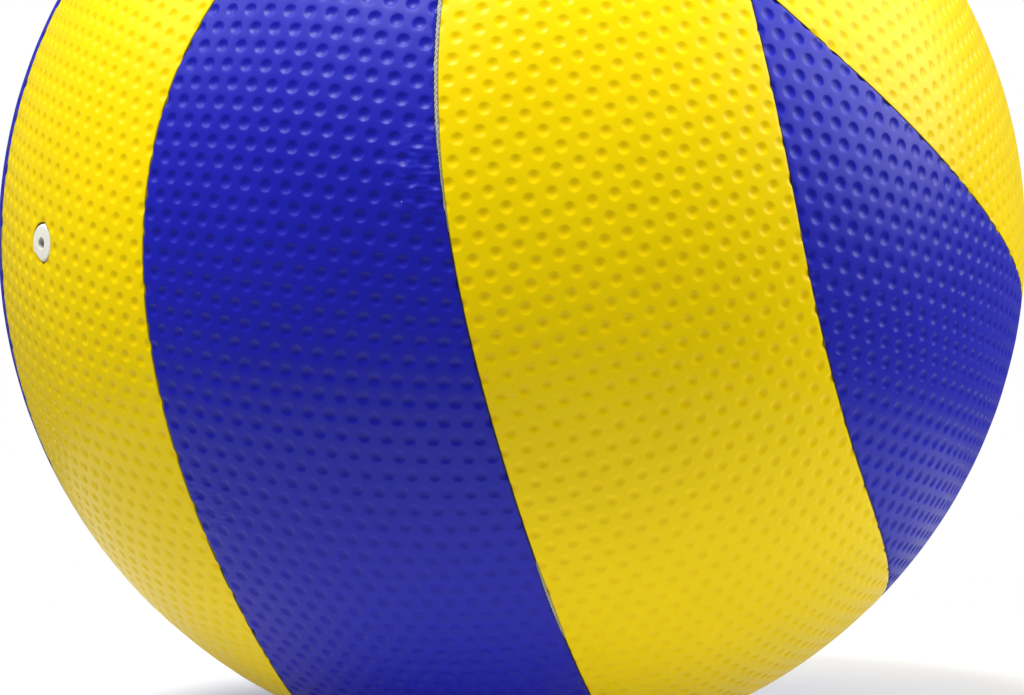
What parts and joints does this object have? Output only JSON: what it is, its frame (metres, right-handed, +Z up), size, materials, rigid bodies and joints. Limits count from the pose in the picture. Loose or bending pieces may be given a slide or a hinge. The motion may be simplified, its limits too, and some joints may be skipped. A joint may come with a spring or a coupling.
{
  "type": "volleyball",
  "caption": "Round inflatable match volleyball with dimpled swirl panels in two colours, bonded over a wound carcass and a bladder, with a self-sealing valve.",
  "frame": {"origin": "centre of the ball", "axes": "+Z up as the ball lies in the picture, -X out along the valve; the panel swirl turns about an axis tilted 42 degrees from +Z towards -Y"},
  "size_m": [0.2099, 0.21, 0.21],
  "materials": {
    "yellow_cover": "satin dimpled polyurethane",
    "blue_cover": "satin dimpled polyurethane",
    "foam_backing": "closed-cell foam with a white cloth face",
    "carcass_rubber": "matt moulded rubber",
    "nylon_thread": "wound nylon thread",
    "butyl": "smooth butyl rubber",
    "valve_rubber": "matt moulded rubber",
    "valve_plug": "smooth white rubber"
  },
  "bodies": {
    "ball": {"yellow_cover_1": "yellow_cover", "yellow_cover_2": "yellow_cover", "yellow_cover_3": "yellow_cover", "yellow_cover_4": "yellow_cover", "blue_cover_1": "blue_cover", "blue_cover_2": "blue_cover", "blue_cover_3": "blue_cover", "blue_cover_4": "blue_cover", "yellow_backing_1": "foam_backing", "yellow_backing_2": "foam_backing", "yellow_backing_3": "foam_backing", "yellow_backing_4": "foam_backing", "blue_backing_1": "foam_backing", "blue_backing_2": "foam_backing", "blue_backing_3": "foam_backing", "blue_backing_4": "foam_backing", "carcass": "carcass_rubber", "thread_winding": "nylon_thread", "bladder": "butyl", "balance_patch": "butyl", "valve_sleeve": "valve_rubber"},
    "valve": {"valve_plug": "valve_plug"}
  },
  "joints": [
    {"name": "valve_pull", "type": "slide", "parent": "ball", "child": "valve", "axis": [-1, 0, 0], "range_m": [0, 0.03]}
  ]
}
